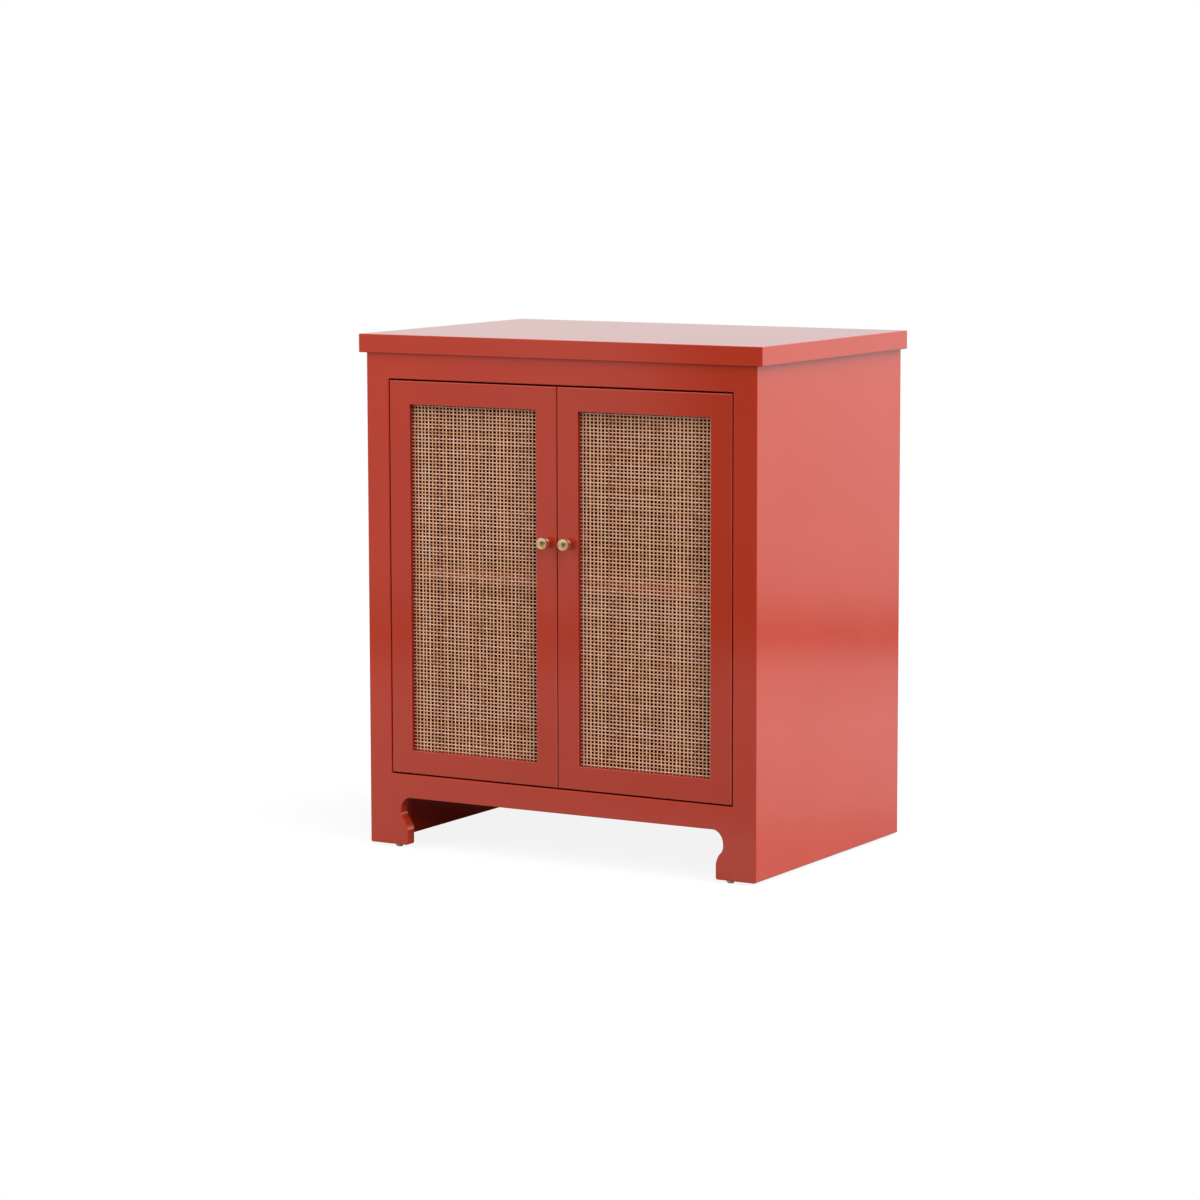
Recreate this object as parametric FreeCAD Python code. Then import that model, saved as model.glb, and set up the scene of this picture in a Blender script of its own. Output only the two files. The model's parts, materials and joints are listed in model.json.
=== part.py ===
import FreeCAD, Part
import math
import os

# A two-door cabinet in lacquered board, with a slab top, cane door panels and bracket feet.
# Sizes are in millimetres. X runs from left to right as seen from the front, Y from front to
# back and Z up. The origin is the middle of the bottom of the part's bounding box.

# Overall size
cabinet_width = 762.0
cabinet_depth = 518.0
cabinet_height = 864.0

# Slab top
slab_thickness = 31.0
slab_side_overhang = 12.0
slab_front_overhang = 6.0
slab_round = 1.6

# Carcass boards
side_thickness = 18.0
bottom_thickness = 18.0
groove_depth = 6.0
back_thickness = 6.0
back_rebate = 8.0
stretcher_thickness = 18.0
stretcher_width = 80.0
corner_block_side = 30.0
board_round = 1.0

# Face frame and feet
frame_thickness = 20.0
stile_width = 43.0
top_rail_height = 42.5
apron_height = 40.0
leg_height = 81.0
bracket_width = 30.6
toe_round = 3.5
frame_tenon_length = 24.0
frame_tenon_thickness = 8.0
frame_tenon_shoulder = 9.0

# Glides
glide_height = 5.0
glide_radius = 6.5
glide_foot_radius = 4.5
glide_nail_radius = 1.2
glide_nail_length = 15.0
glide_inset = 51.0

# Doors
door_thickness = 20.0
door_member = 39.0
door_side_gap = 2.0
door_end_gap = 2.5
meeting_gap = 1.5
door_tenon_length = 20.0
door_tenon_thickness = 6.0
door_tenon_height = 16.0
door_tenon_shoulder = 14.0
door_round = 1.8
opening_round = 1.0

# Cane panels and the strips behind them
cane_setback = 8.0
cane_thickness = 2.0
cane_rebate = 8.0
cane_columns = 12
cane_rows = 25
cane_gap_share = 0.42
brad_radius = 0.7
brad_length = 16.0
brad_shares = (0.12, 0.5, 0.88)

# Knobs
knob_height = 404.0
knob_radius = 10.0
knob_reach = 19.0
knob_head_back = 9.6
knob_rim = 14.3
knob_bead_radius = 7.4
knob_bead_reach = 18.4
knob_groove_radius = 6.2
knob_groove_reach = 17.5
knob_neck_radius = 3.5
knob_base_radius = 4.8
knob_bore_depth = 11.0
rosette_radius = 7.0
rosette_thickness = 3.0
rosette_round = 1.2

# Pivot hinges, in the top and bottom edges of the doors
pin_radius = 2.5
pin_setback = 6.5
pin_depth = 8.0
pin_slack = 0.25
swing_clearance = 0.35
plate_thickness = 2.0
plate_front = 2.0
plate_width = 12.0
plate_length = 32.0
plate_round = 2.0
plate_margin = 8.0
plate_screw_first = 10.0
plate_screw_pitch = 9.0
washer_radius = 4.0

# Shelf and its pins
shelf_thickness = 18.0
shelf_height = 330.0
shelf_front_setback = 10.0
shelf_back_clearance = 2.0
shelf_end_clearance = 2.0
shelf_pin_radius = 2.5
shelf_pin_depth = 9.0
shelf_pin_reach = 9.0
shelf_collar_radius = 4.5
shelf_collar_thickness = 1.0
shelf_tongue_radius = 3.5
shelf_tongue_flat = 2.0
shelf_pin_pitch = 32.0
shelf_pin_rows = 5
shelf_pin_column_shares = (0.12, 0.88)

# Magnetic catch
catch_width = 64.0
catch_depth = 24.0
catch_height = 14.0
catch_block_width = 76.0
catch_block_depth = 30.0
magnet_width = 16.0
magnet_depth = 10.0
magnet_height = 8.0
magnet_offset = 16.0
catch_screw_offset = 22.0
catch_screw_setback = 17.0
strike_width = 22.0
strike_height = 12.0
strike_thickness = 1.2

# Fasteners: the radius of the shank and of the head, then the height of a pan head
small_screw_radius = 1.5
small_screw_head = 3.0
small_screw_length = 10.0
back_screw_length = 15.0
slab_screw_radius = 2.0
slab_screw_head = 4.0
pan_height = 2.4
slab_screw_bite = 20.0
knob_screw_radius = 2.0
catch_screw_bite = 10.0
drive_share = 0.3
drive_length_share = 1.1
dowel_radius = 4.0
dowel_side_depth = 12.0
dowel_board_depth = 24.0
dowel_shares = (0.25, 0.75)
slab_screw_shares = (-0.39, -0.13, 0.13, 0.39)
back_screw_height_shares = (0.07, 0.36, 0.64, 0.93)
back_screw_width_shares = (-0.3, 0, 0.3)

# Outline of a foot bracket: shares of its toe's width from the stile, and of the leg's height
# down from the apron. Each arc runs through a middle point to its end.
bracket_crown_share = 1.1
bracket_arc_shares = (
    ((0.72, 0.10), (0.575, 0.27)),
    ((0.59, 0.38), (0.70, 0.455)),
    ((0.90, 0.565), (1.0, 0.78)),
)

# How far along each axis the middle of a quarter circle is from its centre
diagonal_share = math.sqrt(2) / 2

# Clearances, and how far a cut runs on past what it cuts
fit = 0.05
loose_fit = 0.3
past = 5.0

# Places worked out from the sizes
V = FreeCAD.Vector
left, right, up, down = V(-1, 0, 0), V(1, 0, 0), V(0, 0, 1), V(0, 0, -1)
forward, backward = V(0, -1, 0), V(0, 1, 0)

body_half = cabinet_width / 2 - slab_side_overhang
body_depth = cabinet_depth - slab_front_overhang
front = (knob_reach - body_depth) / 2
back = front + body_depth
frame_back = front + frame_thickness
back_face = back - back_thickness
body_bottom = glide_height
body_top = cabinet_height - slab_thickness
inner_half = body_half - side_thickness
apron_bottom = body_bottom + leg_height
opening_bottom = apron_bottom + apron_height
opening_top = body_top - top_rail_height
opening_half = body_half - stile_width
bottom_underside = opening_bottom - bottom_thickness
stretcher_bottom = body_top - stretcher_thickness
interior_depth = back_face - frame_back

door_bottom = opening_bottom + door_end_gap
door_top = opening_top - door_end_gap
door_back = front + door_thickness
hinge_edge = -opening_half + door_side_gap
free_edge = -meeting_gap / 2
panel_left = hinge_edge + door_member
panel_right = free_edge - door_member
panel_bottom = door_bottom + door_member
panel_top = door_top - door_member
cane_front = front + cane_setback
cane_back = cane_front + cane_thickness
knob_x = free_edge - door_member / 2
knob_z = door_bottom + knob_height

# The pin's distance from the door's edge lets the front corner swing past the stile
corner_room = door_side_gap - swing_clearance
pin_inset = (pin_setback**2 - corner_room**2) / (2 * corner_room)
pin_x = hinge_edge + pin_inset
pin_y = front + pin_setback
plate_y = front + plate_front + plate_width / 2

shelf_bottom = opening_bottom + shelf_height
shelf_pin_z = shelf_bottom - shelf_tongue_flat - loose_fit
catch_front = door_back + strike_thickness + loose_fit
strike_z = door_top - catch_height / 2


def box(x, y, z):
    """A block between the low and high place on each axis."""
    return Part.makeBox(x[1] - x[0], y[1] - y[0], z[1] - z[0], V(x[0], y[0], z[0]))


def rod(radius, start, direction, length):
    return Part.makeCylinder(radius, length, start, direction)


def along(start, direction, distance):
    return start + direction * distance


def mirrored(shape):
    return shape.mirror(V(0, 0, 0), right)


def turned(outline, axis_start, axis):
    """A solid of revolution from a closed list of edges."""
    return Part.Face(Part.Wire(outline)).revolve(axis_start, axis, 360)


def edge_cut(axis, run, corner, inward, radius):
    """What to take off a square edge along one axis to round it. The corner and the inward
    signs are on the other two axes, in order."""
    low = [0, 0, 0]
    high = [0, 0, 0]
    centre = [0, 0, 0]
    low[axis], high[axis] = run
    centre[axis] = run[0] - past
    for other, place, sign in zip([i for i in range(3) if i != axis], corner, inward):
        low[other], high[other] = sorted((place - sign * past, place + sign * radius))
        centre[other] = place + sign * radius
    direction = V(*[1 if i == axis else 0 for i in range(3)])
    block = box(*zip(low, high))
    return block.cut(rod(radius, V(*centre), direction, high[axis] - low[axis] + 2 * past))


def cross_recess(head_radius, depth):
    """The drive recess of a screw whose head's top is at the origin and faces up."""
    half = head_radius * drive_length_share / 2
    thin = half * drive_share
    long_way = box((-half, half), (-thin, thin), (-depth, past))
    return long_way.fuse(box((-thin, thin), (-half, half), (-depth, past)))


def countersunk(length, shank, head, grow=0):
    """A screw that points down, with its flat head's top at the origin."""
    cone = Part.makeCone(head + grow, shank + grow, head - shank, V(0, 0, 0), down)
    return cone.fuse(rod(shank + grow, V(0, 0, 0), down, length + grow)).removeSplitter()


def rim_rounded(disc, centre, radius):
    """A disc with the edge rounded of the end face that has this centre."""
    rims = [e for e in disc.Edges if e.CenterOfMass.distanceToPoint(centre) < fit]
    return disc.makeFillet(radius, rims)


def pan_screw(length, shank, head, height):
    """A screw that points down, whose pan head stands on the origin."""
    cap = rim_rounded(rod(head, V(0, 0, 0), up, height), along(V(0, 0, 0), up, height), height / 2)
    screw = cap.fuse(rod(shank, V(0, 0, 0), down, length)).removeSplitter()
    recess = cross_recess(head, height / 2)
    recess.translate(V(0, 0, height))
    return screw.cut(recess)


def flat_screw(length, shank, head):
    recess = cross_recess(head, (head - shank) * drive_length_share / 2)
    return countersunk(length, shank, head).cut(recess)


def placed(shape, seat, into):
    """A copy of a screw that points down, moved to its seat and turned to point into it."""
    copy = shape.copy()
    copy.Placement = FreeCAD.Placement(seat, FreeCAD.Rotation(down, into))
    return copy


def group(shapes):
    return Part.makeCompound(shapes)


def less(shape, cuts):
    return shape.cut(cuts).removeSplitter()


def slab_screw_places():
    rows = (frame_back + stretcher_width / 2, back_face - stretcher_width / 2)
    spread = [share * 2 * inner_half for share in slab_screw_shares]
    return [V(x, y, stretcher_bottom) for y in rows for x in spread]


def slab():
    half = cabinet_width / 2
    board = box((-half, half), (front - slab_front_overhang, back), (body_top, cabinet_height))
    board = board.makeFillet(slab_round, board.Edges)
    length = stretcher_thickness + slab_screw_bite + loose_fit
    return less(board, [rod(slab_screw_radius + fit, p, up, length) for p in slab_screw_places()])


def slab_screws():
    length = stretcher_thickness + slab_screw_bite
    screw = pan_screw(length, slab_screw_radius, slab_screw_head, pan_height)
    return group([placed(screw, p, up) for p in slab_screw_places()])


def dowel_places(stretcher_front):
    """Where the dowels of a stretcher's left end cross its end face."""
    z = stretcher_bottom + stretcher_thickness / 2
    return [V(-inner_half, stretcher_front + share * stretcher_width, z) for share in dowel_shares]


def stretcher_fronts():
    return (frame_back, back_face - stretcher_width)


def dowels():
    length = dowel_side_depth + dowel_board_depth
    places = [p for y in stretcher_fronts() for p in dowel_places(y)]
    pegs = [rod(dowel_radius, along(p, left, dowel_side_depth), right, length) for p in places]
    return group(pegs + [mirrored(peg) for peg in pegs])


def stretcher(stretcher_front):
    board = box(
        (-inner_half, inner_half),
        (stretcher_front, stretcher_front + stretcher_width),
        (stretcher_bottom, body_top),
    )
    depth = dowel_board_depth + loose_fit
    pegs = [rod(dowel_radius + fit, p, right, depth) for p in dowel_places(stretcher_front)]
    wide = slab_screw_radius + loose_fit
    holes = [rod(wide, p, up, stretcher_thickness + past) for p in slab_screw_places()]
    screws = [placed(back_screw(fit), p, forward) for p in back_screw_places()]
    return less(board, pegs + [mirrored(peg) for peg in pegs] + holes + screws)


def shelf_pin_holes():
    centre = (shelf_pin_rows - 1) / 2
    heights = [shelf_pin_z + (row - centre) * shelf_pin_pitch for row in range(shelf_pin_rows)]
    places = [V(-inner_half, y, z) for y in shelf_pin_columns() for z in heights]
    return [rod(shelf_pin_radius + fit, p, left, shelf_pin_depth + loose_fit) for p in places]


def shelf_pin_columns():
    return [frame_back + share * interior_depth for share in shelf_pin_column_shares]


def left_side():
    board = box((-body_half, -inner_half), (frame_back, back), (body_bottom, body_top))
    groove = box(
        (-inner_half - groove_depth, -inner_half + past),
        (frame_back - past, back_face),
        (bottom_underside - fit, opening_bottom + fit),
    )
    rebate = box(
        (-inner_half - back_rebate, -inner_half + past),
        (back_face, back + past),
        (bottom_underside - fit, body_top + past),
    )
    places = [p for y in stretcher_fronts() for p in dowel_places(y)]
    pegs = [rod(dowel_radius + fit, p, left, dowel_side_depth) for p in places]
    screws = [placed(back_screw(fit), p, forward) for p in back_screw_places()]
    rounds = [
        edge_cut(2, (body_bottom - past, body_top + past), (-body_half, back), (1, -1), board_round),
        edge_cut(1, (frame_back - past, back + past), (-body_half, body_bottom), (1, 1), toe_round),
    ]
    return less(board, [groove, rebate] + pegs + screws + shelf_pin_holes() + rounds)


def bottom_panel():
    half = inner_half + groove_depth - fit
    board = box((-half, half), (frame_back, back_face), (bottom_underside, opening_bottom))
    return less(board, [placed(back_screw(fit), p, forward) for p in back_screw_places()])


def back_screw(grow=0):
    if grow:
        return countersunk(back_screw_length, small_screw_radius, small_screw_head, grow)
    return flat_screw(back_screw_length, small_screw_radius, small_screw_head)


def back_screw_places():
    side_x = inner_half + back_rebate / 2
    height = body_top - bottom_underside
    heights = [bottom_underside + share * height for share in back_screw_height_shares]
    sides = [V(sign * side_x, back, z) for sign in (-1, 1) for z in heights]
    levels = (bottom_underside + bottom_thickness / 2, stretcher_bottom + stretcher_thickness / 2)
    rows = [V(share * 2 * inner_half, back, z) for z in levels for share in back_screw_width_shares]
    return sides + rows


def back_panel():
    half = inner_half + back_rebate - loose_fit
    board = box((-half, half), (back_face, back), (bottom_underside, body_top))
    return less(board, [placed(back_screw(fit), p, forward) for p in back_screw_places()])


def back_screws():
    screw = back_screw()
    return group([placed(screw, p, forward) for p in back_screw_places()])


def frame_tenon(rail_bottom, rail_height, grow=0):
    """The tenon at the left end of a face frame rail."""
    middle = front + frame_thickness / 2
    half = frame_tenon_thickness / 2 + grow
    low = rail_bottom + frame_tenon_shoulder - grow
    high = rail_bottom + rail_height - frame_tenon_shoulder + grow
    x = (-opening_half - frame_tenon_length - grow, -opening_half)
    return box(x, (middle - half, middle + half), (low, high))


def left_stile():
    board = box((-body_half, -opening_half), (front, frame_back), (body_bottom, body_top))
    mortises = [
        frame_tenon(opening_top, top_rail_height, fit),
        frame_tenon(apron_bottom, apron_height, fit),
    ]
    rounds = [
        edge_cut(2, (body_bottom - past, body_top + past), (-body_half, front), (1, 1), board_round),
        edge_cut(2, (opening_bottom, opening_top), (-opening_half, front), (-1, 1), door_round),
        edge_cut(1, (front - past, frame_back + past), (-body_half, body_bottom), (1, 1), toe_round),
    ]
    return less(board, mortises + rounds)


def plate_recess(level, into, slack=fit):
    """A pivot plate's recess in the frame or the door, with its pin hole and screw holes."""
    plate = pivot_plate_blank(level, into, fit)
    screws = [placed(plate_screw(fit), seat, into) for seat in plate_screw_seats(level)]
    start = V(pin_x, pin_y, level)
    hole = rod(pin_radius + slack, start, into, plate_thickness + pin_depth + loose_fit)
    return [plate, hole] + screws


def frame_rail(bottom, top):
    height = top - bottom
    board = box((-opening_half, opening_half), (front, frame_back), (bottom, top))
    tenon = frame_tenon(bottom, height)
    return board.fuse([tenon, mirrored(tenon)]).removeSplitter()


def top_rail():
    recess = plate_recess(opening_top, up)
    run = (-opening_half, opening_half)
    rounds = [edge_cut(0, run, (front, opening_top), (1, 1), door_round)]
    return less(frame_rail(opening_top, body_top), recess + [mirrored(c) for c in recess] + rounds)


def apron():
    board = frame_rail(apron_bottom, opening_bottom)
    recess = plate_recess(opening_bottom, down)
    run = (-opening_half, opening_half)
    clear = opening_half - bracket_crown_share * bracket_width
    rounds = [
        edge_cut(0, run, (front, opening_bottom), (1, -1), door_round),
        edge_cut(0, (-clear, clear), (front, apron_bottom), (1, 1), opening_round),
    ]
    return less(board, recess + [mirrored(c) for c in recess] + rounds)


def bracket_point(shares):
    across, drop = shares
    return V(-opening_half + across * bracket_width, front, apron_bottom - drop * leg_height)


def left_bracket():
    corner = V(-opening_half, front, apron_bottom)
    start = bracket_point((bracket_crown_share, 0))
    edges = [Part.LineSegment(corner, start).toShape()]
    for middle, end in bracket_arc_shares:
        edges.append(Part.Arc(start, bracket_point(middle), bracket_point(end)).toShape())
        start = bracket_point(end)
    toe_x = -opening_half + bracket_width
    bend = toe_round * (1 - diagonal_share)
    turn_start = V(toe_x, front, body_bottom + toe_round)
    turn_middle = V(toe_x - bend, front, body_bottom + bend)
    turn_end = V(toe_x - toe_round, front, body_bottom)
    heel = V(-opening_half, front, body_bottom)
    edges.append(Part.LineSegment(start, turn_start).toShape())
    edges.append(Part.Arc(turn_start, turn_middle, turn_end).toShape())
    edges.append(Part.LineSegment(turn_end, heel).toShape())
    edges.append(Part.LineSegment(heel, corner).toShape())
    block = Part.Face(Part.Wire(edges)).extrude(backward * frame_thickness)
    block = block.makeFillet(opening_round, [e for e in block.Edges if is_scallop(e)])
    return less(block, [glide_nail(front_glide_place(), fit)])


def is_scallop(edge):
    """Whether an edge of a foot bracket is on its front face and on the curve that shows."""
    middle = edge.valueAt((edge.FirstParameter + edge.LastParameter) / 2)
    joins_frame = middle.x < -opening_half + fit or middle.z > apron_bottom - fit
    return edge.BoundBox.YMax < front + fit and not joins_frame


def corner_blocks():
    nails = [glide_nail(back_glide_place(), fit)]
    side = corner_block_side
    x = (-inner_half, -inner_half + side)
    z = (body_bottom, bottom_underside)
    front_block = box(x, (frame_back, frame_back + side), z)
    back_block = less(box(x, (back_face - side, back_face), z), nails)
    pair = [front_block, back_block]
    return group(pair + [mirrored(block) for block in pair])


def front_glide_place():
    return V(-body_half + glide_inset, front + frame_thickness / 2, 0)


def back_glide_place():
    half = corner_block_side / 2
    return V(-inner_half + half, back_face - half, 0)


def glide_nail(place, grow=0):
    start = along(place, up, glide_height)
    return rod(glide_nail_radius + grow, start, up, glide_nail_length + grow)


def glide(place):
    pad = Part.makeCone(glide_foot_radius, glide_radius, glide_height / 2, place, up)
    rim = rod(glide_radius, along(place, up, glide_height / 2), up, glide_height / 2)
    return pad.fuse([rim, glide_nail(place)]).removeSplitter()


def glides():
    pair = [glide(front_glide_place()), glide(back_glide_place())]
    return group(pair + [mirrored(pad) for pad in pair])


def pivot_plate_blank(level, into, grow=0):
    start_x = pin_x - plate_margin
    x = (start_x - grow, start_x + plate_length + grow)
    y = (plate_y - plate_width / 2 - grow, plate_y + plate_width / 2 + grow)
    z = sorted((level, level + into.z * plate_thickness))
    plate = box(x, y, z)
    corners = [e for e in plate.Edges if e.Vertexes[0].Z != e.Vertexes[-1].Z]
    return plate.makeFillet(plate_round, corners)


def plate_screw_seats(level):
    first = pin_x + plate_screw_first
    return [V(first + i * plate_screw_pitch, plate_y, level) for i in range(2)]


def plate_screw(grow=0):
    if grow:
        return countersunk(small_screw_length, small_screw_radius, small_screw_head, grow)
    return flat_screw(small_screw_length, small_screw_radius, small_screw_head)


def pivot_plate(level, into):
    screws = [placed(plate_screw(fit), seat, into) for seat in plate_screw_seats(level)]
    start = along(V(pin_x, pin_y, level), into, -past)
    hole = rod(pin_radius + fit, start, into, plate_thickness + 2 * past)
    return less(pivot_plate_blank(level, into), screws + [hole])


def frame_plates():
    return group([pivot_plate(opening_top, up), pivot_plate(opening_bottom, down)])


def door_plates():
    return group([pivot_plate(door_top, down), pivot_plate(door_bottom, up)])


def plate_screws(levels):
    """The screws of the plates at each level, given with the way they point."""
    screw = plate_screw()
    return [placed(screw, seat, into) for level, into in levels for seat in plate_screw_seats(level)]


def frame_plate_screws():
    screws = plate_screws([(opening_top, up), (opening_bottom, down)])
    return group(screws + [mirrored(screw) for screw in screws])


def door_plate_screws():
    return group(plate_screws([(door_top, down), (door_bottom, up)]))


def pivot_pins():
    sunk = plate_thickness + pin_depth
    length = 2 * sunk + door_end_gap
    top_start = V(pin_x, pin_y, opening_top + sunk)
    bottom_start = V(pin_x, pin_y, opening_bottom - sunk)
    return group([rod(pin_radius, top_start, down, length), rod(pin_radius, bottom_start, up, length)])


def washer(level, into):
    thickness = door_end_gap - loose_fit
    place = V(pin_x, pin_y, level)
    ring = rod(washer_radius, place, into, thickness)
    return ring.cut(rod(pin_radius + fit, along(place, into, -past), into, thickness + 2 * past))


def washers():
    return group([washer(opening_top, down), washer(opening_bottom, up)])


def cane_pocket(grow=0):
    """The room for the cane and its strips, open to the back of the door."""
    wide = cane_rebate + grow
    return box(
        (panel_left - wide, panel_right + wide),
        (cane_front, door_back + past),
        (panel_bottom - wide, panel_top + wide),
    )


def door_tenon(rail_outer, inward, grow=0):
    """The tenons at both ends of a door rail. The outer edge is its top or bottom."""
    middle = front + door_thickness / 2
    half = door_tenon_thickness / 2 + grow
    reach = door_tenon_length + grow
    near = rail_outer + inward * (door_tenon_shoulder - grow)
    far = rail_outer + inward * (door_tenon_shoulder + door_tenon_height + grow)
    y = (middle - half, middle + half)
    return box((panel_left - reach, panel_right + reach), y, sorted((near, far)))


def door_stile(x):
    board = box(x, (front, door_back), (door_bottom, door_top))
    tenons = [door_tenon(door_bottom, 1, fit), door_tenon(door_top, -1, fit)]
    run = (x[0] - past, x[1] + past)
    tall = (door_bottom - past, door_top + past)
    rounds = [
        edge_cut(0, run, (front, door_bottom), (1, 1), door_round),
        edge_cut(0, run, (front, door_top), (1, -1), door_round),
    ]
    return less(board, [cane_pocket()] + tenons + rounds), tall


def hinge_stile():
    board, tall = door_stile((hinge_edge, panel_left))
    rounds = [
        edge_cut(2, tall, (hinge_edge, front), (1, 1), door_round),
        edge_cut(2, (panel_bottom, panel_top), (panel_left, front), (-1, 1), opening_round),
    ]
    recesses = plate_recess(door_top, down, pin_slack) + plate_recess(door_bottom, up, pin_slack)
    return less(board, recesses + brads(fit) + rounds)


def meeting_stile():
    board, tall = door_stile((panel_right, free_edge))
    rounds = [
        edge_cut(2, tall, (free_edge, front), (-1, 1), door_round),
        edge_cut(2, (panel_bottom, panel_top), (panel_right, front), (1, 1), opening_round),
    ]
    start = along(knob_centre(), forward, past)
    bolt = rod(knob_screw_radius + loose_fit, start, backward, door_thickness + 2 * past)
    return less(board, [bolt, strike_screw(fit)] + brads(fit) + rounds)


def door_rail(outer, inward):
    inner = outer + inward * door_member
    board = box((panel_left, panel_right), (front, door_back), sorted((outer, inner)))
    run = (panel_left, panel_right)
    rail = less(board, [cane_pocket()]).fuse(door_tenon(outer, inward)).removeSplitter()
    rounds = [
        edge_cut(0, run, (front, outer), (1, inward), door_round),
        edge_cut(0, run, (front, inner), (1, -inward), opening_round),
    ]
    return less(rail, brads(fit) + rounds)


def cane_panel():
    """The cane as one holed sheet, whose gaps each stand for a block of the real weave's."""
    wide = cane_rebate - loose_fit
    x = (panel_left - wide, panel_right + wide)
    z = (panel_bottom - wide, panel_top + wide)
    sheet = [rectangle(x, z)]
    for column in range(cane_columns):
        for row in range(cane_rows):
            across = gap_run(panel_left, panel_right, column, cane_columns)
            tall = gap_run(panel_bottom, panel_top, row, cane_rows)
            sheet.append(rectangle(across, tall))
    return Part.Face(sheet).extrude(backward * cane_thickness)


def gap_run(low, high, index, count):
    """Where one of a row of gaps starts and ends, between the edges of the cane's opening."""
    pitch = (high - low) / count
    margin = pitch * (1 - cane_gap_share) / 2
    start = low + index * pitch + margin
    return (start, start + pitch * cane_gap_share)


def rectangle(x, z):
    corners = [(x[0], z[0]), (x[1], z[0]), (x[1], z[1]), (x[0], z[1]), (x[0], z[0])]
    return Part.makePolygon([V(place, cane_front, height) for place, height in corners])


def cane_strips():
    y = (cane_back, door_back)
    wide = cane_rebate
    tall = (panel_bottom - wide, panel_top + wide)
    across = (panel_left, panel_right)
    strips = [
        box((panel_left - wide, panel_left), y, tall),
        box((panel_right, panel_right + wide), y, tall),
        box(across, y, (panel_bottom - wide, panel_bottom)),
        box(across, y, (panel_top, panel_top + wide)),
    ]
    return group([less(strip, brads(fit)) for strip in strips])


def brads(grow=0):
    """The brads that hold the strips: each starts at a strip's inner face and points out."""
    y = (cane_back + door_back) / 2
    width = panel_right - panel_left
    height = panel_top - panel_bottom
    pins = []
    for share in brad_shares:
        z = panel_bottom + share * height
        x = panel_left + share * width
        starts = [
            (V(panel_left, y, z), left),
            (V(panel_right, y, z), right),
            (V(x, y, panel_bottom), down),
            (V(x, y, panel_top), up),
        ]
        pins += [rod(brad_radius + grow, start, way, brad_length + grow) for start, way in starts]
    return pins


def knob_centre():
    return V(knob_x, front, knob_z)


def knob_point(radius, reach):
    return knob_centre() + V(radius, -reach, 0)


def line(start, end):
    return Part.LineSegment(start, end).toShape()


def arc(start, middle, end):
    return Part.Arc(start, middle, end).toShape()


def knob():
    """A turned knob: a flared base, a neck and a round head with a bead around a low dome."""
    base = rosette_thickness
    bore = knob_screw_radius + fit
    bore_end = base + knob_bore_depth
    waist = (base + knob_head_back) / 2
    bend = diagonal_share
    back_radius = (knob_radius + knob_neck_radius) / 2
    back_bend = back_radius + (knob_radius - back_radius) * bend
    bead_bend = knob_bead_radius + (knob_radius - knob_bead_radius) * bend
    dome_rise = knob_reach - knob_groove_reach
    dome_curve = (knob_groove_radius**2 + dome_rise**2) / (2 * dome_rise)
    dome_middle = knob_groove_radius / 2
    dome_drop = dome_curve - math.sqrt(dome_curve**2 - dome_middle**2)
    foot = knob_point(knob_base_radius, base)
    neck = knob_point(knob_neck_radius, waist)
    nape = knob_point(back_radius, knob_head_back)
    rim = knob_point(knob_radius, knob_rim)
    bead = knob_point(knob_bead_radius, knob_bead_reach)
    groove = knob_point(knob_groove_radius, knob_groove_reach)
    flare = knob_point((knob_base_radius + 2 * knob_neck_radius) / 3, (3 * base + waist) / 4)
    throat = knob_point((2 * knob_neck_radius + back_radius) / 3, (waist + 2 * knob_head_back) / 3)
    outline = [
        line(knob_point(bore, base), foot),
        arc(foot, flare, neck),
        arc(neck, throat, nape),
        arc(nape, knob_point(back_bend, knob_rim - (knob_rim - knob_head_back) * bend), rim),
        arc(rim, knob_point(bead_bend, knob_rim + (knob_bead_reach - knob_rim) * bend), bead),
        line(bead, groove),
        arc(groove, knob_point(dome_middle, knob_reach - dome_drop), knob_point(0, knob_reach)),
        line(knob_point(0, knob_reach), knob_point(0, bore_end)),
        line(knob_point(0, bore_end), knob_point(bore, bore_end)),
        line(knob_point(bore, bore_end), knob_point(bore, base)),
    ]
    return turned(outline, knob_centre(), forward)


def rosette():
    disc = rod(rosette_radius, knob_centre(), forward, rosette_thickness)
    disc = rim_rounded(disc, knob_point(0, rosette_thickness), rosette_round)
    start = along(knob_centre(), backward, past)
    hole = rod(knob_screw_radius + fit, start, forward, rosette_thickness + 2 * past)
    return less(disc, [hole])


def knob_screw():
    length = door_thickness + rosette_thickness + knob_bore_depth - loose_fit
    screw = pan_screw(length, knob_screw_radius, slab_screw_head, pan_height)
    return placed(screw, V(knob_x, door_back, knob_z), forward)


def strike_screw(grow=0):
    return placed(plate_screw(grow), strike_screw_seat(), forward)


def strike_screw_seat():
    return V(-magnet_offset, door_back + strike_thickness, strike_z)


def strike_plate():
    x = (-magnet_offset - strike_width / 2, -magnet_offset + strike_width / 2)
    z = (strike_z - strike_height / 2, strike_z + strike_height / 2)
    plate = box(x, (door_back, door_back + strike_thickness), z)
    return less(plate, [strike_screw(fit)])


def catch_screw_places():
    y = catch_front + catch_screw_setback
    return [V(sign * catch_screw_offset, y, door_top - catch_height) for sign in (-1, 1)]


def catch_screw_shafts(grow):
    length = catch_height + catch_screw_bite + grow
    return [rod(small_screw_radius + grow, p, up, length) for p in catch_screw_places()]


def catch_block():
    half = catch_block_width / 2
    y = (frame_back, frame_back + catch_block_depth)
    return less(box((-half, half), y, (door_top, stretcher_bottom)), catch_screw_shafts(fit))


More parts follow.
